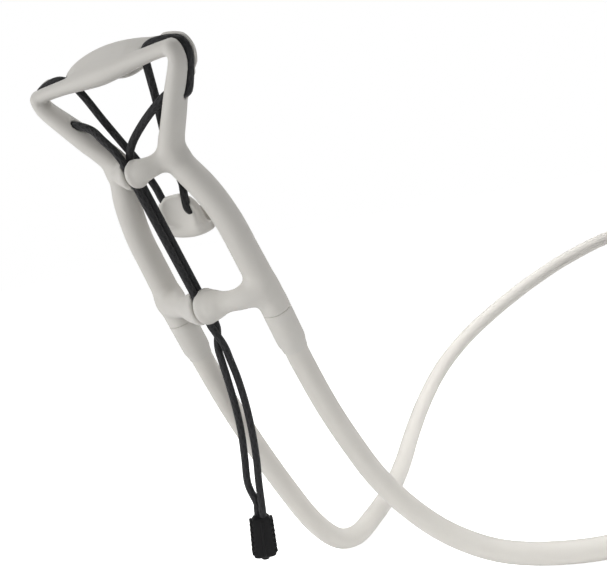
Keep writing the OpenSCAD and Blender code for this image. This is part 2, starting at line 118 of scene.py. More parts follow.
TOP_Y, BOTTOM_Y = 38.95, -38.95
BACK_Z, FRONT_Z, SEAT_GAP = 3.65, -3.65, 0.4
BAR_Y, BAR_Z, BAR_R, ARM_R = 35.95, 10, 3, 4.2
UPPER_Y, LOWER_Y, SEAM_Y = -4.35, -70.75, -82.75
LEG_X, LEG_R, CORNER_X = 28.8, 6.65, 42
CLEAT_Z, CLEAT_GAP, UPPER_R, LOWER_R = 20.4, 1.2, 6.2, 8
CORD_D = 3.4
CORD_R = CORD_D / 2
STRAND_Z = BACK_Z + 0.1 + CORD_R
GROOVE_OUT = 1.6
EXIT_Y = LOWER_Y - LOWER_R - 1
CUP_TOP_Y = BOTTOM_Y + 17
TUBE_D, SLEEVE_L, TUBE_START = 10.8, 20.7, 5.7

LEG = [[LEG_X, SEAM_Y, BAR_Z, LEG_R], [LEG_X, SEAM_Y + 5, BAR_Z, LEG_R],
       [LEG_X - 0.5, LOWER_Y + 3, BAR_Z, LEG_R - 0.2], [LEG_X - 1.2, LOWER_Y + 19, BAR_Z, 6.2],
       [LEG_X - 1.8, UPPER_Y - 34, BAR_Z, 6.05], [LEG_X - 3.8, UPPER_Y - 23, BAR_Z, 6],
       [LEG_X - 6.8, UPPER_Y - 14, BAR_Z + 0.2, 6.05], [18.3, UPPER_Y - 6, BAR_Z + 0.4, 5.9],
       [16.6, UPPER_Y + 0.4, BAR_Z + 0.4, 5.6], [17.6, UPPER_Y + 5, BAR_Z + 0.2, 5.2],
       [22, UPPER_Y + 11, BAR_Z, 4.75], [27.1, UPPER_Y + 17.6, BAR_Z, ARM_R + 0.3],
       [32.6, UPPER_Y + 24.8, BAR_Z, ARM_R], [CORNER_X - 3.1, BAR_Y - 7.4, BAR_Z, ARM_R - 0.5],
       [CORNER_X - 1.4, BAR_Y - 3.5, BAR_Z, BAR_R + 0.35],
       [CORNER_X - 1.6, BAR_Y - 1.2, BAR_Z, BAR_R + 0.3]]
BAR = [[CORNER_X - 2.4, BAR_Y - 0.3, BAR_Z, BAR_R + 0.2], [34, BAR_Y + 0.1, BAR_Z, BAR_R - 0.1],
       [22, BAR_Y, BAR_Z, BAR_R + 0.1], [10, BAR_Y - 0.35, BAR_Z, BAR_R + 0.8],
       [0, BAR_Y - 0.55, BAR_Z, BAR_R + 1.2], [-10, BAR_Y - 0.35, BAR_Z, BAR_R + 0.8]]
UPPER_ARM = smooth([[16.5, UPPER_Y + 0.3, BAR_Z + 0.8, 5.2], [12.4, UPPER_Y + 0.2, BAR_Z + 4, 4.5],
                    [9, UPPER_Y, BAR_Z + 7, 4.3], [6, UPPER_Y, CLEAT_Z - 1.3, 4.8],
                    [3.4, UPPER_Y - 0.3, CLEAT_Z - 0.2, 5.2]], 4)
LOWER_ARM = smooth([[LEG_X - 1.6, LOWER_Y + 0.4, BAR_Z + 1.6, 6.5],
                    [LEG_X - 5.4, LOWER_Y + 0.2, BAR_Z + 5, 5.9],
                    [19, LOWER_Y, CLEAT_Z - 2.8, 5.0], [14, LOWER_Y, CLEAT_Z - 1.8, 4.75],
                    [9.8, LOWER_Y, CLEAT_Z - 1, 5.4], [6.4, LOWER_Y, CLEAT_Z - 0.4, 6.6],
                    [3.6, LOWER_Y, CLEAT_Z, 7.5]], 4)
GROOVE_LIP = [[33, UPPER_Y + 21, BAR_Z - 3.4, 1.1], [39.4, UPPER_Y + 28.2, BAR_Z - 4.7, 1.25],
              [CORNER_X + 1.5, BAR_Y - 5, BAR_Z - 4.95, 1.45],
              [CORNER_X + 0.9, BAR_Y + 0.3, BAR_Z - 4.95, 1.45],
              [CORNER_X - 4, BAR_Y + 1.3, BAR_Z - 4.7, 1.5], [24, BAR_Y + 0.4, BAR_Z - 3.6, 1.5]]
JOINT = [8.6, UPPER_Y - 3, STRAND_Z]
CUP_Z = BACK_Z + SEAT_GAP + 2.3


def cord_half(z):
    """Right half of the drawcord, from the lower cleat to the cup's strand; z in the cleats."""
    return [[0, EXIT_Y, z], [0, EXIT_Y + 8, z], [0, LOWER_Y + 22, z], [0, UPPER_Y - 18, z],
            [0, UPPER_Y - 5, z], [0, UPPER_Y + 1, z], [0.8, UPPER_Y + 6.6, z - 0.6],
            [4.2, UPPER_Y + 11.4, z - 2.4], [10, UPPER_Y + 16, z - 5.2],
            [17.5, UPPER_Y + 20, BAR_Z + 2.4], [24, UPPER_Y + 23, BAR_Z + 0.8],
            [29, UPPER_Y + 24.3, BAR_Z], [33, UPPER_Y + 22.4, BAR_Z - 0.8],
            [36, UPPER_Y + 22.4, BAR_Z - 1.8], [38.8, UPPER_Y + 26.4, BAR_Z - 2.6],
            [41.6, UPPER_Y + 31.4, BAR_Z - 3], [CORNER_X + GROOVE_OUT, BAR_Y - 4, BAR_Z - 3.2],
            [CORNER_X + GROOVE_OUT - 1, BAR_Y + 0.2, BAR_Z - 3.2],
            [CORNER_X - 2.6, BAR_Y + GROOVE_OUT + 0.3, BAR_Z - 3.1],
            [34, BAR_Y + GROOVE_OUT + 1.4, BAR_Z - 3], [28.4, BAR_Y + 3.2, BAR_Z - 3.1],
            [24.6, BAR_Y + 2.1, BAR_Z - 3.4], [21.8, BAR_Y - 0.8, BAR_Z - 4.1],
            [20.4, BAR_Y - 4.2, STRAND_Z + 0.2], [18.8, BAR_Y - 9.4, STRAND_Z],
            [16.4, BAR_Y - 18, STRAND_Z], [12.4, UPPER_Y + 10, STRAND_Z],
            [9.6, UPPER_Y + 2, STRAND_Z], JOINT]


CORDS_APART = 1.75  # each cord's distance from the cleats' middle
FRONT_CORD_Z, REAR_CORD_Z = CLEAT_Z - CORDS_APART, CLEAT_Z + CORDS_APART
RIGHT_CORD = smooth(cord_half(FRONT_CORD_Z), 6)
LEFT_CORD = smooth(flip_x(cord_half(REAR_CORD_Z)), 6)
RIGHT_CUP = smooth([JOINT, [8.5, UPPER_Y - 4, STRAND_Z], [8.5, UPPER_Y - 8.6, STRAND_Z],
                    [8.9, CUP_TOP_Y + 4.4, CUP_Z - 0.3], [8.8, CUP_TOP_Y + 1.2, CUP_Z + 1],
                    [8.2, CUP_TOP_Y - 1.8, CUP_Z + 1.7], [7.1, CUP_TOP_Y - 4.8, CUP_Z + 1.7],
                    [6.1, CUP_TOP_Y - 7.2, CUP_Z + 0.9], [5.4, CUP_TOP_Y - 8.8, CUP_Z - 0.5]], 6)
LEFT_CUP = smooth(flip_x([JOINT, [8.5, UPPER_Y - 4, STRAND_Z], [7.6, UPPER_Y - 8.6, STRAND_Z],
                          [6.8, CUP_TOP_Y + 4, STRAND_Z + 0.1], [6.4, CUP_TOP_Y + 0.4, CUP_Z - 0.4],
                          [6.3, CUP_TOP_Y - 2, CUP_Z - 0.45],
                          [6.3, CUP_TOP_Y - 4, CUP_Z - 0.45]]), 6)

# Free strands, upright: out of the lower cleat and into the grip's top
GRIP = (1.5, 13.7, 52.4)
GRIP_TURN, GRIP_TILT, STRAND_TURN = radians(42), radians(5), radians(-55)
GRIP_L, GRIP_TOP_W, GRIP_BOTTOM_W, GRIP_T = 19, 9.8, 10.8, 7.4
STRAND_HALF = 1.85  # each strand's distance from the grip's middle
ABOVE_GRIP, AT_GRIP, IN_GRIP = 6, 2.5, -6.96  # heights over the grip's top


def on_grip(points):
    """From the grip's own frame, with its top at z = 0, to upright points."""
    points = np.atleast_2d(np.array(points, float))
    x, y, z = points[:, 0], points[:, 1], points[:, 2]
    u, w = x * cos(GRIP_TILT) + z * sin(GRIP_TILT), z * cos(GRIP_TILT) - x * sin(GRIP_TILT)
    return np.stack([GRIP[0] + u * cos(GRIP_TURN) - y * sin(GRIP_TURN),
                     GRIP[1] + u * sin(GRIP_TURN) + y * cos(GRIP_TURN), GRIP[2] + w], 1)


def into_grip(side, height):
    return on_grip([[side * STRAND_HALF * cos(STRAND_TURN),
                     side * STRAND_HALF * sin(STRAND_TURN), height]])[0].tolist()


def out_of_cleat(z, depth):
    return upright([[0, EXIT_Y - depth, z]])[0].tolist()


# The two strands cross once under the cleat, so each enters the grip on the other side
LEFT_PULL = smooth([out_of_cleat(REAR_CORD_Z, 0), out_of_cleat(REAR_CORD_Z, 1),
                    [0.3, 10.3, 141.5], [1.2, 11.25, 138.3], [2, 12.4, 135], [2.2, 13.7, 131.5],
                    [2.2, 14.8, 127], [3.2, 16.2, 117], [4, 17, 104], [4.2, 17, 91],
                    [4.1, 16.2, 79], [3.6, 14.9, 68], into_grip(1, ABOVE_GRIP),
                    into_grip(1, AT_GRIP), into_grip(1, IN_GRIP)], 5)
RIGHT_PULL = smooth([out_of_cleat(FRONT_CORD_Z, 0), out_of_cleat(FRONT_CORD_Z, 1),
                     [-0.4, 13.8, 141.5], [-1.15, 13.95, 138.3], [-1.5, 13.1, 135],
                     [-1.2, 12.4, 131.5], [-0.6, 12.3, 127], [-0.1, 13.2, 116], [0, 14.3, 104],
                     [0, 14.4, 92], [-0.7, 13.8, 80], [-1.3, 12.9, 68],
                     into_grip(-1, ABOVE_GRIP), into_grip(-1, AT_GRIP), into_grip(-1, IN_GRIP)], 5)

# Neck loop, upright, from the left sleeve round to the right one
LOOP = [[-26.5, 40, 97], [-22.5, 48.5, 73], [-16.8, 57.5, 48], [-11.5, 67, 26],
        [-7, 78.5, 11], [-4.5, 93, 5.7], [-5, 112, 6.6], [-10, 145, 9],
        [-19.5, 182, 13], [-31, 222, 20], [-38, 262, 31.5], [-37.5, 298, 46],
        [-28.5, 332, 61], [-13.5, 366, 75], [5, 401, 88], [28, 441, 100],
        [57, 488, 108], [88, 531, 100], [125, 565, 76], [165, 580, 43],
        [207, 572, 16], [244, 537, 5.8], [266, 480, 5.4], [275, 412, 5.4],
        [274, 345, 5.4], [264, 280, 5.4], [243, 222, 5.4], [214, 174, 5.4],
        [180, 138, 5.4], [146, 112.5, 5.4], [115, 93.5, 5.8], [89, 79.4, 10.4],
        [69, 69, 21.5], [54, 61, 37], [43, 53.5, 56], [36, 47.2, 76], [31.4, 40, 97]]


def leg_line(side, depths):
    return upright([[side * LEG_X, SEAM_Y - d, BAR_Z] for d in depths]).tolist()


# The tube starts straight in each sleeve
LEAD = [TUBE_START, TUBE_START + 7.5, SLEEVE_L + 1, SLEEVE_L + 7]
NECK = smooth(leg_line(-1, LEAD) + LOOP + leg_line(1, LEAD)[::-1], 8)
NECK[:, 2] = np.maximum(NECK[:, 2], TUBE_D / 2)

# ---------------------------------------------------------------------------
# Material nodes as expressions


class Socket:
    """A shader socket that takes part in arithmetic."""

    def __init__(self, paint, socket):
        self.paint, self.socket = paint, socket

    def math(self, operation, *others, clamp=False):
        return self.paint.node("ShaderNodeMath", {"operation": operation, "use_clamp": clamp},
                               {0: self, **{i + 1: o for i, o in enumerate(others)}})

    def __add__(self, other): return self.math("ADD", other)
    def __radd__(self, other): return self.math("ADD", other)
    def __sub__(self, other): return self.math("SUBTRACT", other)
    def __rsub__(self, other): return (self * -1) + other
    def __mul__(self, other): return self.math("MULTIPLY", other)
    def __rmul__(self, other): return self.math("MULTIPLY", other)
    def sin(self): return self.math("SINE")
    def over(self, other): return self.math("MAXIMUM", other)
    def clamped(self): return self.math("ADD", 0, clamp=True)


class Paint:
    """A procedural material: one surface shader and the nodes that feed it."""

    def __init__(self, name):
        self.material = bpy.data.materials.new(name)
        self.material.use_nodes = True
        self.tree = self.material.node_tree
        self.surface = self.tree.nodes["Principled BSDF"]

    def node(self, kind, settings=None, values=None, out=0):
        node = self.tree.nodes.new(kind)
        for name, value in (settings or {}).items():
            setattr(node, name, value)
        for name, value in (values or {}).items():
            self.set(node.inputs[name], value)
        return Socket(self, node.outputs[out])

    def set(self, socket, value):
        if isinstance(value, Socket):
            self.tree.links.new(value.socket, socket)
        else:
            socket.default_value = value

    def surface_of(self, **values):
        for name, value in values.items():
            self.set(self.surface.inputs[name.replace("_", " ")], value)
        return self.material

    def noise(self, scale, detail=3.0, roughness=0.55):
        where = self.node("ShaderNodeTexCoord", out="Object")
        return self.node("ShaderNodeTexNoise", {},
                         {"Vector": where, "Scale": scale, "Detail": detail,
                          "Roughness": roughness})

    def mix(self, factor, a, b):
        """Between two colours: a mix node's colours are its sockets 6 and 7, and its output 2."""
        return self.node("ShaderNodeMix", {"data_type": "RGBA"}, {0: factor, 6: a, 7: b}, out=2)

    def bump(self, height, distance, strength=1.0):
        return self.node("ShaderNodeBump", {}, {"Height": height, "Distance": distance,
                                                "Strength": strength})


def soft_white(name, warm, cool, grain, sheen):
    """Soft moulded off-white: faint clouding, a fine satin grain and a few rubbed spots."""
    p = Paint(name)
    cloud = p.noise(28, 4)
    fine = p.noise(2600, 2, 0.5)
    rubbed = ((p.noise(95, 5, 0.6) - 0.56) * 9).clamped()
    colour = p.mix(cloud, (*warm, 1), (*cool, 1))
    colour = p.mix(rubbed * 0.25, colour, tuple(c * 0.93 for c in warm) + (1,))
    return p.surface_of(Base_Color=colour, Roughness=0.55 + cloud * 0.1 - rubbed * 0.07,
                        Specular_IOR_Level=0.36, Sheen_Weight=sheen, Sheen_Roughness=0.5,
                        Normal=p.bump(fine * 0.7 + cloud * 0.3, grain))


YARNS, YARN_TURN = 6, 0.0046  # yarns each way, and the metres of cord that one turn takes


def braided(name):
    """Tight black braid: two sets of yarns wind round the cord and cross."""
    p = Paint(name)
    turn = p.node("ShaderNodeAttribute", {"attribute_name": "turn"}, out="Vector")
    parts = p.tree.nodes.new("ShaderNodeSeparateXYZ")
    p.set(parts.inputs[0], turn)
    angle = Socket(p, parts.outputs[1]).math("ARCTAN2", Socket(p, parts.outputs[0]))
    run = p.node("ShaderNodeAttribute", {"attribute_name": "along"}, out="Fac")
    one = (angle * YARNS + run * (2 * pi / YARN_TURN)).sin()
    two = (angle * YARNS - run * (2 * pi / YARN_TURN)).sin()
    yarn = one.over(two)
    crossing = (one * two + 0.2).clamped()
    fibre = p.noise(5200, 2, 0.6)
    cloud = p.noise(60, 3)
    # Painted highlight on the yarns' crests and where they cross, and painted shade in the gaps
    # between yarns, plus random fibre tone
    yarn_light_and_fibre_tone = (yarn * 0.35 + fibre * 0.5 + crossing * 0.2).clamped()
    colour = p.mix(yarn_light_and_fibre_tone, (0.004, 0.004, 0.005, 1), (0.02, 0.02, 0.022, 1))
    colour = p.mix(cloud * 0.3, colour, (0.012, 0.012, 0.013, 1))
    return p.surface_of(Base_Color=colour, Roughness=0.62 + fibre * 0.2, Sheen_Weight=0.08,
                        Sheen_Roughness=0.4, Specular_IOR_Level=0.35,
                        Normal=p.bump(yarn * 0.8 + fibre * 0.4, 0.00022, 0.9))


def black_rubber(name):
    p = Paint(name)
    cloud = p.noise(120, 4)
    fine = p.noise(3400, 2)
    colour = p.mix(cloud, (0.004, 0.004, 0.0045, 1), (0.009, 0.009, 0.0095, 1))
    return p.surface_of(Base_Color=colour, Roughness=0.48 + cloud * 0.16, Specular_IOR_Level=0.13,
                        Normal=p.bump(fine, 0.00006))


def drawn_metal(name):
    p = Paint(name)
    lines = p.noise(900, 2, 0.5)
    return p.surface_of(Base_Color=p.mix(lines, (0.55, 0.56, 0.58, 1), (0.68, 0.69, 0.7, 1)),
                        Metallic=1.0, Roughness=0.32 + lines * 0.15, Normal=p.bump(lines, 0.00003))


MOULDING = soft_white("soft white moulding", warm=(0.655, 0.632, 0.59), cool=(0.625, 0.61, 0.58),
                      grain=0.00005, sheen=0.06)
SLEEVE = soft_white("soft white sleeve", warm=(0.65, 0.628, 0.588), cool=(0.62, 0.606, 0.576),
                    grain=0.00005, sheen=0.06)
TUBE = soft_white("soft white tube", warm=(0.665, 0.64, 0.592), cool=(0.64, 0.62, 0.585),
                  grain=0.00006, sheen=0.1)
CORD = braided("black braid")
RUBBER = black_rubber("black rubber")
METAL = drawn_metal("drawn metal")

# ---------------------------------------------------------------------------
# Meshes


def made(name, points, faces, material):
    mesh = bpy.data.meshes.new(name)
    mesh.from_pydata(np.asarray(points, float).tolist(), [], faces)
    mesh.validate()
    piece = bpy.data.objects.new(name, mesh)
    bpy.context.scene.collection.objects.link(piece)
    mesh.materials.append(material)
    mesh.shade_smooth()
    return piece


def settled(piece):
    """The piece with its modifiers turned into plain mesh."""
    solved = piece.evaluated_get(bpy.context.evaluated_depsgraph_get())
    mesh = bpy.data.meshes.new_from_object(solved)
    if piece.type == "MESH":
        piece.modifiers.clear()
        piece.data = mesh
        result = piece
    else:
        name = piece.name
        bpy.data.objects.remove(piece)
        result = bpy.data.objects.new(name, mesh)
        bpy.context.scene.collection.objects.link(result)
    mesh.name = result.name
    mesh.shade_smooth()
    return result


def tree_with(name, inputs):
    tree = bpy.data.node_groups.new(name, "GeometryNodeTree")
    tree.interface.new_socket("Geometry", in_out="INPUT", socket_type="NodeSocketGeometry")
    for label, kind, value in inputs:
        socket = tree.interface.new_socket(label, in_out="INPUT", socket_type=kind)
        if value is not None:
            socket.default_value = value
    tree.interface.new_socket("Geometry", in_out="OUTPUT", socket_type="NodeSocketGeometry")
    return tree


def add(tree, kind, settings=None, values=None):
    node = tree.nodes.new(kind)
    for name, value in (settings or {}).items():
        setattr(node, name, value)
    for name, value in (values or {}).items():
        socket = node.inputs[name]
        if isinstance(value, bpy.types.NodeSocket):
            tree.links.new(value, socket)
        else:
            socket.default_value = value
    return node


def use_tree(piece, tree, **values):
    modifier = piece.modifiers.new(tree.name, "NODES")
    modifier.node_group = tree
    for item in tree.interface.items_tree:
        label = item.name.replace(" ", "_")
        if item.item_type == "SOCKET" and item.in_out == "INPUT" and label in values:
            modifier[item.identifier] = values[label]
    return settled(piece)


def round_along_route():
    """A round tube along a curve, with its run and its turn kept for the braid."""
    tree = tree_with("round tube along a route", [
        ("Radius", "NodeSocketFloat", 0.002), ("Spacing", "NodeSocketFloat", 0.001),
        ("Sides", "NodeSocketInt", 16), ("Material", "NodeSocketMaterial", None)])
    given = add(tree, "NodeGroupInput")
    evenly = add(tree, "GeometryNodeResampleCurve", {"mode": "LENGTH"},
                 {"Curve": given.outputs["Geometry"], "Length": given.outputs["Spacing"]})
    run = add(tree, "GeometryNodeSplineParameter")
    keep_run = add(tree, "GeometryNodeStoreNamedAttribute",
                   {"data_type": "FLOAT", "domain": "POINT"},
                   {"Geometry": evenly.outputs[0], "Name": "along", "Value": run.outputs["Length"]})
    ring = add(tree, "GeometryNodeCurvePrimitiveCircle", {},
               {"Resolution": given.outputs["Sides"], "Radius": given.outputs["Radius"]})
    spot = add(tree, "GeometryNodeInputPosition")
    keep_turn = add(tree, "GeometryNodeStoreNamedAttribute",
                    {"data_type": "FLOAT_VECTOR", "domain": "POINT"},
                    {"Geometry": ring.outputs[0], "Name": "turn", "Value": spot.outputs[0]})
    skin = add(tree, "GeometryNodeCurveToMesh", {},
               {"Curve": keep_run.outputs[0], "Profile Curve": keep_turn.outputs[0],
                "Fill Caps": True})
    real = add(tree, "GeometryNodeRealizeInstances", {}, {"Geometry": skin.outputs[0]})
    coat = add(tree, "GeometryNodeSetMaterial", {},
               {"Geometry": real.outputs[0], "Material": given.outputs["Material"]})
    add(tree, "NodeGroupOutput", {}, {"Geometry": coat.outputs[0]})
    return tree


ROUND = round_along_route()


def tube(name, points, diameter, sides, spacing, material):
    """A round tube; points are in the part's frame, in metres, the sizes in millimetres."""
    curve = bpy.data.curves.new(name, "CURVE")
    curve.dimensions = "3D"
    line = curve.splines.new("POLY")
    line.points.add(len(points) - 1)
    for spot, p in zip(line.points, points):
        spot.co = (*p, 1)
    piece = bpy.data.objects.new(name, curve)
    bpy.context.scene.collection.objects.link(piece)
    return use_tree(piece, ROUND, Radius=diameter / 2000, Spacing=spacing / 1000, Sides=sides,
                    Material=material)


# ---------------------------------------------------------------------------
# Smoothly joined forms: a distance field on a grid, and a skin where it is zero


FAR = 9.0  # distance where no shape is near


class Form:
    """Distances, in millimetres, to a shape in the head's own frame."""

    def __init__(self, low, high, step):
        self.step = step
        self.axes = [np.arange(a, b, step, dtype=np.float32) for a, b in zip(low, high)]
        self.value = np.full([len(a) for a in self.axes], FAR, np.float32)

    def empty(self):
        other = Form.__new__(Form)
        other.step, other.axes = self.step, self.axes
        other.value = np.full_like(self.value, FAR)
        return other

    def near(self, low, high, margin=5.0):
        cut = tuple(slice(*np.searchsorted(a, [l - margin, h + margin]))
                    for a, l, h in zip(self.axes, low, high))
        x, y, z = np.ix_(*[a[c] for a, c in zip(self.axes, cut)])
        return cut, x, y, z

    def join(self, distance, low, high, blend=0.0):
        cut, x, y, z = self.near(low, high)
        if 0 not in self.value[cut].shape:
            self.value[cut] = soft_least(self.value[cut], distance(x, y, z), blend)

    def merge(self, other, blend):
        self.value = soft_least(self.value, other.value, blend)

    def cut(self, distance, low, high, blend=0.0):
        cut, x, y, z = self.near(low, high)
        if 0 not in self.value[cut].shape:
            self.value[cut] = -soft_least(-self.value[cut], distance(x, y, z), blend)

    def chain(self, points, blend=0.0, cut=False, oval=None):
        """Round rods from point to point, [x, y, z, radius]; oval makes them deeper along z."""
        points = [np.array(p, float) for p in points]
        for a, b in zip(points[:-1], points[1:]):
            reach = 1.4 * max(a[3], b[3])
            low, high = np.minimum(a, b)[:3] - reach, np.maximum(a, b)[:3] + reach

            def rod(x, y, z, a=a, b=b):
                if oval:
                    z = BAR_Z + (z - BAR_Z) / oval(y)
                return to_rod(x, y, z, a, b)
            if cut:
                self.cut(rod, low, high, blend)
            else:
                self.join(rod, low, high, blend)


def soft_least(a, b, blend):
    """The smaller of two distances, with a soft passage where they are nearly alike."""
    if blend <= 0:
        return np.minimum(a, b)
    h = np.clip(0.5 + 0.5 * (b - a) / blend, 0, 1)
    return (b * (1 - h) + a * h - blend * h * (1 - h)).astype(np.float32)


def to_rod(x, y, z, a, b):
    run = b[:3] - a[:3]
    t = ((x - a[0]) * run[0] + (y - a[1]) * run[1] + (z - a[2]) * run[2]) / max(run @ run, 1e-9)
    t = np.clip(t, 0, 1)
    gap = np.sqrt((x - a[0] - t * run[0]) ** 2 + (y - a[1] - t * run[1]) ** 2
                  + (z - a[2] - t * run[2]) ** 2)
    return gap - (a[3] + t * (b[3] - a[3]))


def to_block(x, y, z, low, high, r=0.0):
    middle_, half = (np.array(low) + high) / 2, (np.array(high) - low) / 2 - r
    q = [np.abs(v - m) - h for v, m, h in zip((x, y, z), middle_, half)]
    outside = np.sqrt(sum(np.maximum(v, 0) ** 2 for v in q))
    return outside + np.minimum(np.maximum(np.maximum(q[0], q[1]), q[2]), 0) - r


def to_disc(x, y, z, x_low, x_high, centre_y, centre_z, radius, r):
    """A disc square to X, with a rounded rim."""
    flat = np.abs(x - (x_low + x_high) / 2) - (x_high - x_low) / 2 + r
    round_ = np.sqrt((y - centre_y) ** 2 + (z - centre_z) ** 2) - radius + r
    flat, round_ = np.broadcast_arrays(flat, round_)
    return (np.sqrt(np.maximum(flat, 0) ** 2 + np.maximum(round_, 0) ** 2)
            + np.minimum(np.maximum(flat, round_), 0) - r)


CORNERS = [(i, j, k) for i in (0, 1) for j in (0, 1) for k in (0, 1)]
EDGES = [(a, b) for a in range(8) for b in range(a + 1, 8)
         if sum(abs(p - q) for p, q in zip(CORNERS[a], CORNERS[b])) == 1]


def skin_of(form):
    """Points and faces where the form's distance is zero."""
    v = form.value
    inside = v < 0
    n = [s - 1 for s in v.shape]
    total = sum(inside[i:i + n[0], j:j + n[1], k:k + n[2]].astype(np.int8) for i, j, k in CORNERS)
    mixed = (total > 0) & (total < 8)
    cells = np.argwhere(mixed)
    number = np.full(mixed.shape, -1, np.int64)
    number[mixed] = np.arange(len(cells))
    at = np.stack([v[cells[:, 0] + i, cells[:, 1] + j, cells[:, 2] + k] for i, j, k in CORNERS], 1)
    spots, hits = np.zeros((len(cells), 3)), np.zeros(len(cells))
    for a, b in EDGES:
        crossed = (at[:, a] < 0) != (at[:, b] < 0)
        t = at[crossed, a] / (at[crossed, a] - at[crossed, b])
        start, end = np.array(CORNERS[a], float), np.array(CORNERS[b], float)
        spots[crossed] += start + (end - start) * t[:, None]
        hits[crossed] += 1
    points = (cells + spots / hits[:, None]) * form.step + [a[0] for a in form.axes]
    faces = []
    for axis in range(3):
        u, w = (axis + 1) % 3, (axis + 2) % 3
        first = [slice(1, -1)] * 3
        second = [slice(1, -1)] * 3
        first[axis], second[axis] = slice(0, -1), slice(1, None)
        a, b = inside[tuple(first)], inside[tuple(second)]
        for mask, order in (((a & ~b), 1), ((~a & b), -1)):
            edge = np.argwhere(mask)
            edge[:, u] += 1
            edge[:, w] += 1
            ring = []
            for du, dw in ((-1, -1), (0, -1), (0, 0), (-1, 0)):
                cell = edge.copy()
                cell[:, u] += du
                cell[:, w] += dw
                ring.append(number[cell[:, 0], cell[:, 1], cell[:, 2]])
            faces.append(np.stack(ring[::order], 1))
    return points, np.concatenate(faces)


def eased(points, faces, rounds, share):
    """Evens out the skin's small steps."""
    for _ in range(rounds):
        total, count = np.zeros_like(points), np.zeros(len(points))
        for k in range(4):
            a, b = faces[:, k], faces[:, (k + 1) % 4]
            np.add.at(total, a, points[b])
            np.add.at(total, b, points[a])
            np.add.at(count, a, 1)
            np.add.at(count, b, 1)
        points = points + share * (total / count[:, None] - points)
    return points


def skin(name, form, material, rounds=2, also=()):
    """The form's skin as a piece, together with the other shells that are moulded on it."""
    points, faces = skin_of(form)
    points = eased(points, faces, rounds, 0.5)
    faces = faces.tolist()
    for more, more_faces in also:
        faces += [[k + len(points) for k in face] for face in more_faces]
        points = np.concatenate([points, more])
    return made(name, head(points), faces, material)


def seat(x, y, z):
    return to_block(x, y, z, (-70, BOTTOM_Y - SEAT_GAP, FRONT_Z - SEAT_GAP),
                    (70, TOP_Y + SEAT_GAP, BACK_Z + SEAT_GAP), 0.8)


def with_radius(points, r):
    return [[*p, r] for p in points]


def cord_channels(form, routes, clearance=0.12):
    for route in routes:
        form.chain(with_radius(route[::3], CORD_R + clearance), cut=True, blend=0.5)


# ---------------------------------------------------------------------------
# The frame: bars and legs, the hook over the seat's upper edge, and the cleats

HOOK_W, HOOK_RISE, HOOK_CREST, HOOK_LIP, HOOK_T = 26, 3.2, 2.3, 7, 3
HOOK_END, HOOK_END_RISE = HOOK_W * 0.985, 0.6
END_TURN, MORE_TURN = -20, -70  # degrees that the hook turns in at its ends, and more in its middle
CREST_AT, CREST_UNDER, CREST_OVER = 12, 14, 20  # the crest's place and its two flanks, in degrees
LIP_FROM = 0.35  # share of the hook's arc from which it has a lip
FRAME_GRID, CUP_GRID = 0.5, 0.28
RIM_R, RIM_OUT, RIM_DEEP, RIM_IN = 0.7, 1.5, -1.85, 1.2
CORNER_MIDDLE = [36, 31.5, 0]
DISC_X, DISC_EDGE = 3.2, 1.1


def hook_section(x):
    """Outline of the hook at x, as points [y, z]: a crest, a hollow back and a lip."""
    k = max(cos(pi / 2 * x / HOOK_W), 0)
    full = k ** 0.7
    rise = HOOK_END_RISE + (HOOK_RISE - HOOK_END_RISE) * full
    turn = END_TURN + MORE_TURN * min(1, 1.5 * k)
    lip = HOOK_LIP * max(0, (k - LIP_FROM) / (1 - LIP_FROM))
    in_y, in_z = SEAT_GAP + 3, BACK_Z + SEAT_GAP
    deep = in_z + 1.6 + (BAR_Z + 0.5 - in_z) * min(1, 1.6 * k)
    outer = []
    for a in np.linspace(turn, 90, 25):
        flank = CREST_UNDER if a < CREST_AT else CREST_OVER
        crest = HOOK_CREST * full * np.exp(-((a - CREST_AT) / flank) ** 2)
        outer.append([BAR_Y + (in_y + rise) * cos(radians(a)) + crest,
                      (deep if a > 0 else in_z + HOOK_T) * sin(radians(a))])
    tip = outer[0][1]
    inner = -in_z * abs(sin(radians(turn))) ** 0.7
    return np.array([[BAR_Y - lip, inner], [BAR_Y - lip, tip]] + outer
                    + [[BAR_Y - 2, outer[-1][1]], [BAR_Y - 2, 0]])


def to_outline(y, z, points):
    """Signed distance from a grid of [y, z] to a closed outline."""
    best = np.full(np.broadcast(y, z).shape, 1e9)
    inside = np.zeros(best.shape, bool)
    for (y0, z0), (y1, z1) in zip(points, np.roll(points, -1, 0)):
        ey, ez = y1 - y0, z1 - z0
        t = np.clip(((y - y0) * ey + (z - z0) * ez) / max(ey * ey + ez * ez, 1e-9), 0, 1)
        best = np.minimum(best, (y - y0 - t * ey) ** 2 + (z - z0 - t * ez) ** 2)
        crosses = ((z0 > z) != (z1 > z)) & (y < y0 + ey * (z - z0) / (ez if ez else 1e-9))
        inside ^= crosses
    return np.where(inside, -1, 1) * np.sqrt(best)


def hook(x, y, z):
    """The hook lies between its sections: each slice of the grid has its own outline."""
    out = []
    for at in np.ravel(x):
        flat = to_outline(y[0], z[0], hook_section(min(abs(at), HOOK_END)))
        past = max(abs(at) - HOOK_END, 0)
        within = np.maximum(flat, past) if past else flat
        out.append(np.where(flat > 0, np.hypot(flat, past), within))
    return np.stack(out).astype(np.float32)


def round_rod(points, radii, sides=14):
    """Points and faces of a rod along a line, with its own radius at each point."""
    points = np.array(points, float)
    ways = np.gradient(points, axis=0)
    ways /= np.linalg.norm(ways, axis=1)[:, None]
    across = np.cross(ways, [0, 0, 1.0])
    across /= np.linalg.norm(across, axis=1)[:, None]
    over = np.cross(ways, across)
    a = np.linspace(0, 2 * pi, sides, endpoint=False)[None, :, None]
    rings = points[:, None] + np.array(radii)[:, None, None] * (
        np.cos(a) * across[:, None] + np.sin(a) * over[:, None])
    return lofted(list(rings))


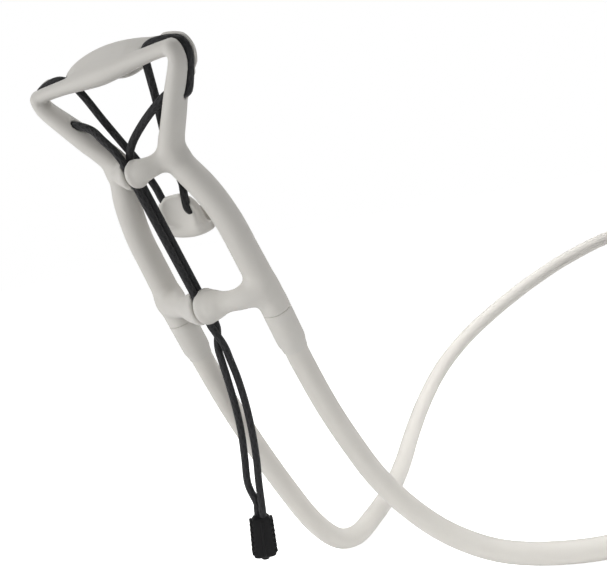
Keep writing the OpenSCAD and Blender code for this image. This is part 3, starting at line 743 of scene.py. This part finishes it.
def groove_rims():
    """The rounded edge outside the cord, where it goes round the head's two corners."""
    route = np.array([p for p in RIGHT_CORD if p[0] > 30.5 and p[1] > 24 and p[2] < BAR_Z - 2.4])
    away = (route - CORNER_MIDDLE) * [1, 1, 0]
    away /= np.linalg.norm(away, axis=1)[:, None]
    count = np.arange(len(route))
    taper = np.minimum(count, count[::-1]) / 5
    radii = RIM_R * np.clip(0.15 + taper, 0, 1)
    line = (route + away * RIM_OUT + [0, 0, RIM_DEEP]
            - away * RIM_IN * np.clip(0.8 - taper, 0, 1)[:, None])
    return [round_rod(flip_x(line)[::-1], radii[::-1]), round_rod(line, radii)]


def make_frame():
    form = Form((0, -84.6, -9), (48.2, 47.5, 30.5), FRAME_GRID)
    leg = smooth(LEG, 3)
    form.chain(leg[leg[:, 1] < 4])
    arm = form.empty()
    arm.chain(leg[leg[:, 1] > -7], oval=lambda y: 1 + 0.32 * np.clip((y + 5) / 14, 0, 1))
    form.merge(arm, 0.8)
    bar = form.empty()
    bar.chain(smooth(BAR, 3), oval=lambda y: 1.2)
    form.merge(bar, 1.2)
    crown = form.empty()
    crown.join(hook, (0, 26, -8), (HOOK_W, 46, 13))
    form.merge(crown, 1.8)
    for arm, disc_y, disc_r, blend in ((UPPER_ARM, UPPER_Y - 0.5, UPPER_R - 0.2, 3),
                                       (LOWER_ARM, LOWER_Y, LOWER_R, 3.6)):
        boss = form.empty()
        boss.chain(arm)
        boss.join(lambda x, y, z: to_disc(x, y, z, CLEAT_GAP / 2, DISC_X, disc_y, CLEAT_Z, disc_r,
                                          DISC_EDGE),
                  (0, disc_y - disc_r, CLEAT_Z - disc_r), (4, disc_y + disc_r, CLEAT_Z + disc_r), 2)
        form.merge(boss, blend)
    form.cut(lambda x, y, z: x - CLEAT_GAP / 2, (0, -84, 13), (1, 6, 30))
    form.chain(GROOVE_LIP, blend=1.0)
    form.cut(seat, (-70, -50, -5), (70, TOP_Y + 1, 5))
    form.cut(lambda x, y, z: y - SEAM_Y, (15, -84.5, 0), (45, SEAM_Y, 20))
    # The left half is the right one turned over; the cords' channels differ
    whole = form.empty()
    whole.axes = [np.concatenate([-form.axes[0][:0:-1], form.axes[0]])] + form.axes[1:]
    whole.value = np.concatenate([form.value[:0:-1], form.value])
    cord_channels(whole, (LEFT_CORD, RIGHT_CORD))
    piece = skin("frame_skin", whole, MOULDING, also=groove_rims())
    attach(piece, "frame")
    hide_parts("holder_frame")


# ---------------------------------------------------------------------------
# The cup under the seat's lower edge

PLATE_LOW, PLATE_HIGH = BACK_Z + SEAT_GAP, BACK_Z + SEAT_GAP + 4.6
CUP_W, CUP_CORNER, FLOOR_W, FLOOR_LOW = 11.4, 9, 13.6, BOTTOM_Y - 4.4
THUMB_X, THUMB_Y, THUMB_OUT, THUMB_SIZE = 0.6, 31.2, 1.5, (8.9, 10.6, 5.1)


def rounded(flat, thick, r):
    """A slab with rounded edges, from its outline's distance and its faces' distance."""
    flat, thick = np.broadcast_arrays(flat + r, thick + r)
    return (np.sqrt(np.maximum(flat, 0) ** 2 + np.maximum(thick, 0) ** 2)
            + np.minimum(np.maximum(flat, thick), 0) - r)


def make_cup():
    form = Form((-16, -46, -9.5), (16, -19.5, 11.5), CUP_GRID)

    def plate(x, y, z):
        u = np.abs(x) - CUP_W + CUP_CORNER
        v = y - CUP_TOP_Y + CUP_CORNER
        outline = (np.sqrt(np.maximum(u, 0) ** 2 + np.maximum(v, 0) ** 2)
                   + np.minimum(np.maximum(u, v), 0) - CUP_CORNER)
        outline = soft_least(np.maximum(outline, BOTTOM_Y + 1 - y), to_floor(x, y), 3)
        back = PLATE_HIGH - 0.34 * np.maximum(BOTTOM_Y + 5 - y, 0)
        return rounded(outline, np.maximum(PLATE_LOW - z, z - back), 2.0)

    def to_floor(x, y):
        low = FLOOR_LOW + 2.6 * (x / FLOOR_W) ** 2
        return np.maximum(np.abs(x) - FLOOR_W, np.maximum(low - y, y - BOTTOM_Y - 1.2))

    def floor(x, y, z):
        wide = FLOOR_W - 0.012 * (z - 5) ** 2
        outline = np.maximum(rounded(np.abs(x) - wide, -z - 7.1, 3.5), z - 6.3)
        low = FLOOR_LOW + 2.6 * (x / FLOOR_W) ** 2 + 0.02 * (z - 3) ** 2
        return rounded(outline, np.maximum(low - y, y - BOTTOM_Y - 0.6), 1.7)

    def lip(x, y, z):
        outline = rounded(np.abs(x) - 11.6 + 0.03 * (y + 42) ** 2, y - BOTTOM_Y - 5.5, 3)
        return rounded(np.maximum(outline, FLOOR_LOW + 1 - y), np.abs(z + 5.55) - 1.5, 1.45)

    def thumb_dish(x, y, z):
        wide, tall, deep = THUMB_SIZE
        return (np.sqrt(((x - THUMB_X) / wide) ** 2 + ((y + THUMB_Y) / tall) ** 2
                        + ((z - PLATE_HIGH - THUMB_OUT) / deep) ** 2) - 1) * 5

    form.join(plate, (-FLOOR_W, -44, 4), (FLOOR_W, -21, 9))
    form.join(floor, (-FLOOR_W, -44, -7), (FLOOR_W, -38, 6.5), 1.6)
    form.join(lip, (-12, -43, -7.2), (12, -33, -4), 1.8)
    form.cut(thumb_dish, (-9, -42, 4), (10.5, -20, 12), 0.9)
    form.cut(seat, (-70, -40, -5), (70, 0, 5))
    cord_channels(form, (LEFT_CUP[:-4], RIGHT_CUP[:-9]))
    piece = skin("cup_skin", form, MOULDING)
    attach(piece, "cup")
    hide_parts("lower_cup")


# ---------------------------------------------------------------------------
# Sleeves and the neck loop

# Half a section, as (radius, distance below the seam)
SLEEVE_PROFILE = [(2.4, 0), (6.35, 0), (6.6, -0.06), (6.66, -0.25), (6.68, -2), (6.68, -8),
                  (6.7, -13.5), (6.66, -15.4), (6.5, -16.6), (6.2, -17.7), (5.95, -18.8),
                  (5.82, -20.2),
                  (5.74, -20.62), (5.6, -20.7), (5.5, -20.6), (5.5, -5.7), (2.4, -5.7)]


def make_sleeves():
    turns = 72
    profile = np.array(SLEEVE_PROFILE)
    for side, name in ((-1, "left_sleeve"), (1, "right_sleeve")):
        points = [(side * LEG_X + r * cos(2 * pi * k / turns), SEAM_Y + y,
                   BAR_Z + r * sin(2 * pi * k / turns))
                  for r, y in profile for k in range(turns)]
        count = len(profile)
        faces = [[i % count * turns + k, i % count * turns + (k + 1) % turns,
                  (i + 1) % count * turns + (k + 1) % turns, (i + 1) % count * turns + k]
                 for i in range(count) for k in range(turns)]
        piece = made(name + "_skin", head(points), faces, SLEEVE)
        piece.data.set_sharp_from_angle(angle=radians(38))
        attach(piece, "frame")
        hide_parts(name)


def make_neck():
    piece = tube("neck_skin", ground(NECK), TUBE_D, 48, 2.6, TUBE)
    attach(piece, "frame")
    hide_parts("neck_tube")


# ---------------------------------------------------------------------------
# Cords

CORD_SIDES = 20


def make_cords():
    for name, route in (("left_drawcord", LEFT_CORD), ("right_drawcord", RIGHT_CORD)):
        piece = tube(name + "_braid", head(route), CORD_D, CORD_SIDES, 0.8, CORD)
        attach(piece, "frame")
        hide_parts(name)
    for name, route in (("left_cup_strand", LEFT_CUP), ("right_cup_strand", RIGHT_CUP)):
        places = head(route)
        piece = tube(name + "_braid", places, CORD_D, CORD_SIDES, 0.6, CORD)
        head([[0, CUP_TOP_Y, STRAND_Z]])[0]
        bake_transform(piece)
        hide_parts(name)


def make_pull_strands(grip_pieces):
    for name, route in (("left_pull_strand", LEFT_PULL), ("right_pull_strand", RIGHT_PULL)):
        places = ground(route)
        piece = tube(name + "_braid", places, CORD_D, CORD_SIDES, 0.8, CORD)
        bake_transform(piece)
        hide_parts(name)


# ---------------------------------------------------------------------------
# The grip: a tapered block with teeth down its sides and a rib down each face


def teeth_down_sides():
    """Rounded bars down both sides of a block, one pitch apart, that follow its widening."""
    tree = tree_with("teeth down both sides", [
        ("Count", "NodeSocketInt", 7), ("Pitch", "NodeSocketFloat", 0.0024),
        ("Start", "NodeSocketFloat", 0.002), ("Radius", "NodeSocketFloat", 0.0008),
        ("Half Width", "NodeSocketFloat", 0.005), ("Depth", "NodeSocketFloat", 0.007),
        ("Widening", "NodeSocketFloat", 0.0001), ("Material", "NodeSocketMaterial", None)])
    given = add(tree, "NodeGroupInput").outputs

    def times(socket, factor):
        return add(tree, "ShaderNodeMath", {"operation": "MULTIPLY"},
                   {0: socket, 1: factor}).outputs[0]

    def place(**parts):
        return add(tree, "ShaderNodeCombineXYZ", {}, parts).outputs[0]

    both = add(tree, "GeometryNodeJoinGeometry")
    for side in (-1.0, 1.0):
        line = add(tree, "GeometryNodeMeshLine", {"mode": "OFFSET"}, {
            "Count": given["Count"],
            "Start Location": place(X=times(given["Half Width"], side),
                                    Z=times(given["Start"], -1.0)),
            "Offset": place(X=times(given["Widening"], side), Z=times(given["Pitch"], -1.0))})
        tree.links.new(line.outputs[0], both.inputs[0])
    bar = add(tree, "GeometryNodeCurvePrimitiveLine", {"mode": "POINTS"},
              {"Start": place(Y=times(given["Depth"], -0.5)),
               "End": place(Y=times(given["Depth"], 0.5))})
    section = add(tree, "GeometryNodeCurvePrimitiveCircle", {},
                  {"Resolution": 16, "Radius": given["Radius"]})
    solid = add(tree, "GeometryNodeCurveToMesh", {},
                {"Curve": bar.outputs[0], "Profile Curve": section.outputs[0], "Fill Caps": True})
    many = add(tree, "GeometryNodeInstanceOnPoints", {},
               {"Points": both.outputs[0], "Instance": solid.outputs[0]})
    whole = add(tree, "GeometryNodeJoinGeometry")
    tree.links.new(given["Geometry"], whole.inputs[0])
    tree.links.new(many.outputs[0], whole.inputs[0])
    real = add(tree, "GeometryNodeRealizeInstances", {}, {"Geometry": whole.outputs[0]})
    coat = add(tree, "GeometryNodeSetMaterial", {},
               {"Geometry": real.outputs[0], "Material": given["Material"]})
    add(tree, "NodeGroupOutput", {}, {"Geometry": coat.outputs[0]})
    return tree


def rounded_outline(width, depth, z, power=3.6, count=40):
    a = np.linspace(0, 2 * pi, count, endpoint=False)
    x = np.sign(np.cos(a)) * np.abs(np.cos(a)) ** (2 / power) * width / 2
    y = np.sign(np.sin(a)) * np.abs(np.sin(a)) ** (2 / power) * depth / 2
    return np.stack([x, y, np.full_like(x, z)], 1)


def lofted(sections):
    count = len(sections[0])
    points = np.concatenate(sections)
    faces = [[i * count + k, i * count + (k + 1) % count, (i + 1) * count + (k + 1) % count,
              (i + 1) * count + k] for i in range(len(sections) - 1) for k in range(count)]
    faces = [f[::-1] for f in faces]
    faces.append(list(range(count)))
    faces.append([(len(sections) - 1) * count + k for k in range(count)][::-1])
    return points, faces


def grip_width(z):
    return GRIP_TOP_W + (GRIP_BOTTOM_W - GRIP_TOP_W) * -z / GRIP_L


def set_on_grip(piece):
    """Moves a piece's mesh from the grip's own frame, in metres, to its place."""
    spots = np.array([v.co for v in piece.data.vertices]) * 1000
    piece.data.vertices.foreach_set("co", ground(on_grip(spots)).ravel())
    piece.data.update()


def make_grip():
    # Height, and what is added there to the width and to the depth
    stations = [(0, -2.6, -1.6), (-0.3, -2.0, -0.9), (-1, -0.9, -0.35), (-1.8, -0.2, 0), (-5, 0, 0),
                (-9, 0, 0), (-13, 0, 0), (-16.6, 0.5, 0), (-17.8, 0.7, -0.1), (-18.6, 0.1, -0.5),
                (-19, -1.8, -1.4)]
    block = lofted([rounded_outline(grip_width(z) - 0.8 + w, GRIP_T + t, z, 5) / 1000
                    for z, w, t in stations])
    body = made("grip_block", *block, RUBBER)
    body = use_tree(body, teeth_down_sides(), Count=7, Pitch=0.00236, Start=0.0022, Radius=0.00075,
                    Half_Width=(GRIP_TOP_W / 2 - 0.15) / 1000, Depth=(GRIP_T - 1.2) / 1000,
                    Widening=0.00007, Material=RUBBER)
    rib = lofted([rounded_outline(1.9 * s, GRIP_T + 0.9 * t, z, 3) / 1000
                  for z, s, t in ((-0.9, 0.7, -0.8), (-1.6, 0.95, 0.6), (-2.4, 1, 1),
                                  (-16.6, 1.1, 1), (-17.6, 1.0, 0.6), (-18.6, 0.8, -0.8))])
    rib = made("grip_rib", *rib, RUBBER)
    for part in (body, rib):
        set_on_grip(part)
        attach(part, "grip")
    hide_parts("grip_body")
    nub = lofted([rounded_outline(w, w, z, 2.0, 32) / 1000
                  for z, w in ((-17, 4), (-19.7, 4), (-20.2, 3.8), (-20.5, 3.3), (-20.6, 2.4))])
    nub = made("grip_nub", *nub, RUBBER)
    set_on_grip(nub)
    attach(nub, "grip")
    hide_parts("grip_plug")
    return [body, rib, nub, CAD["cord_knot"]]


# ---------------------------------------------------------------------------
# Making it all, with the cords first

make_pull_strands(make_grip())
make_cords()
make_frame()
make_cup()
make_sleeves()
make_neck()

for node, material in (("neck_core", METAL), ("cord_knot", CORD)):
    CAD[node].data.materials.clear()
    CAD[node].data.materials.append(material)

# ---------------------------------------------------------------------------
# Floor, light and world


def make_floor():
    """Pale floor: the camera sees it as white as the backdrop, with the shadow kept."""
    size = 6.0
    floor = made("floor", [(-size, -size, 0), (size, -size, 0), (size, size, 0), (-size, size, 0)],
                 [[0, 1, 2, 3]], None)
    p = Paint("pale floor")
    grain = p.noise(3, 2)
    pale = p.mix(grain, (0.8, 0.8, 0.8, 1), (0.81, 0.81, 0.81, 1))
    p.surface_of(Base_Color=pale, Roughness=0.9, Specular_IOR_Level=0.0)
    lifted = p.node("ShaderNodeBsdfPrincipled", {}, {
        "Base Color": pale, "Roughness": 0.9, "Specular IOR Level": 0.0,
        "Emission Color": (1, 1, 1, 1), "Emission Strength": 0.8})
    seen = (p.node("ShaderNodeLightPath", out="Is Camera Ray")
            + p.node("ShaderNodeLightPath", out="Is Glossy Ray"))
    both = p.node("ShaderNodeMixShader", {}, {0: seen.clamped(), 1: Socket(p, p.surface.outputs[0]),
                                              2: lifted})
    p.set(p.tree.nodes["Material Output"].inputs["Surface"], both)
    floor.data.materials.clear()
    floor.data.materials.append(p.material)


def make_lamp(name, place, target, size, power, spread=pi):
    """A square lamp at a place, turned to its target; size in metres, power in watts."""
    lamp = bpy.data.lights.new(name, "AREA")
    lamp.shape, lamp.size, lamp.energy, lamp.spread = "SQUARE", size, power, spread
    lamp_object = bpy.data.objects.new(name, lamp)
    lamp_object.location = place
    way = np.array(target) - np.array(place)
    lamp_object.rotation_euler = Vector(way).to_track_quat("-Z", "Y").to_euler()
    bpy.context.scene.collection.objects.link(lamp_object)


SOFT_LIGHT = 0.31  # strength of the light from all round; the camera sees plain white


def make_world():
    world = bpy.data.worlds.new("plain studio")
    world.use_nodes = True
    tree = world.node_tree
    tree.nodes.clear()
    path = tree.nodes.new("ShaderNodeLightPath")
    soft = tree.nodes.new("ShaderNodeBackground")
    white = tree.nodes.new("ShaderNodeBackground")
    blend = tree.nodes.new("ShaderNodeMixShader")
    out = tree.nodes.new("ShaderNodeOutputWorld")
    soft.inputs[0].default_value, soft.inputs[1].default_value = (1, 1, 1, 1), SOFT_LIGHT
    white.inputs[0].default_value, white.inputs[1].default_value = (1, 1, 1, 1), 1.0
    tree.links.new(path.outputs["Is Camera Ray"], blend.inputs[0])
    tree.links.new(soft.outputs[0], blend.inputs[1])
    tree.links.new(white.outputs[0], blend.inputs[2])
    tree.links.new(blend.outputs[0], out.inputs[0])
    bpy.context.scene.world = world


make_floor()
make_world()
HEAD_SPOT = head([[0, -10, 8]])[0]
RIGHTWARD, UPWARD, BACKWARD = np.array(camera.rotation_euler.to_matrix()).T
LOOP_SPOT, BEND_SPOT = ground([[90, 300, 40], [60, 75, 25]])


def around(spot, right=0.0, up=0.0, back=0.0):
    """A place near a spot, in metres as the camera sees it; back is towards the camera."""
    return spot + RIGHTWARD * right + UPWARD * up + BACKWARD * back


make_lamp("key", around(HEAD_SPOT, -1.0, -0.1, 0.35), around(HEAD_SPOT, up=-0.12), 0.5, 6.0)
make_lamp("fill", around(HEAD_SPOT, 0.9, 0, 1.0), around(HEAD_SPOT, up=-0.1), 1.2, 0.6)
make_lamp("top", around(HEAD_SPOT, 0, 1.3, -0.15), HEAD_SPOT, 1.2, 1.5)
make_lamp("loop", LOOP_SPOT + np.array([0.0, 0.1, 0.7]), LOOP_SPOT, 0.5, 0.95, radians(60))
make_lamp("bend", around(BEND_SPOT, 0.15, 0.1, 0.8), BEND_SPOT, 0.3, 0.11, radians(32))
bpy.context.scene.view_settings.view_transform = "Standard"
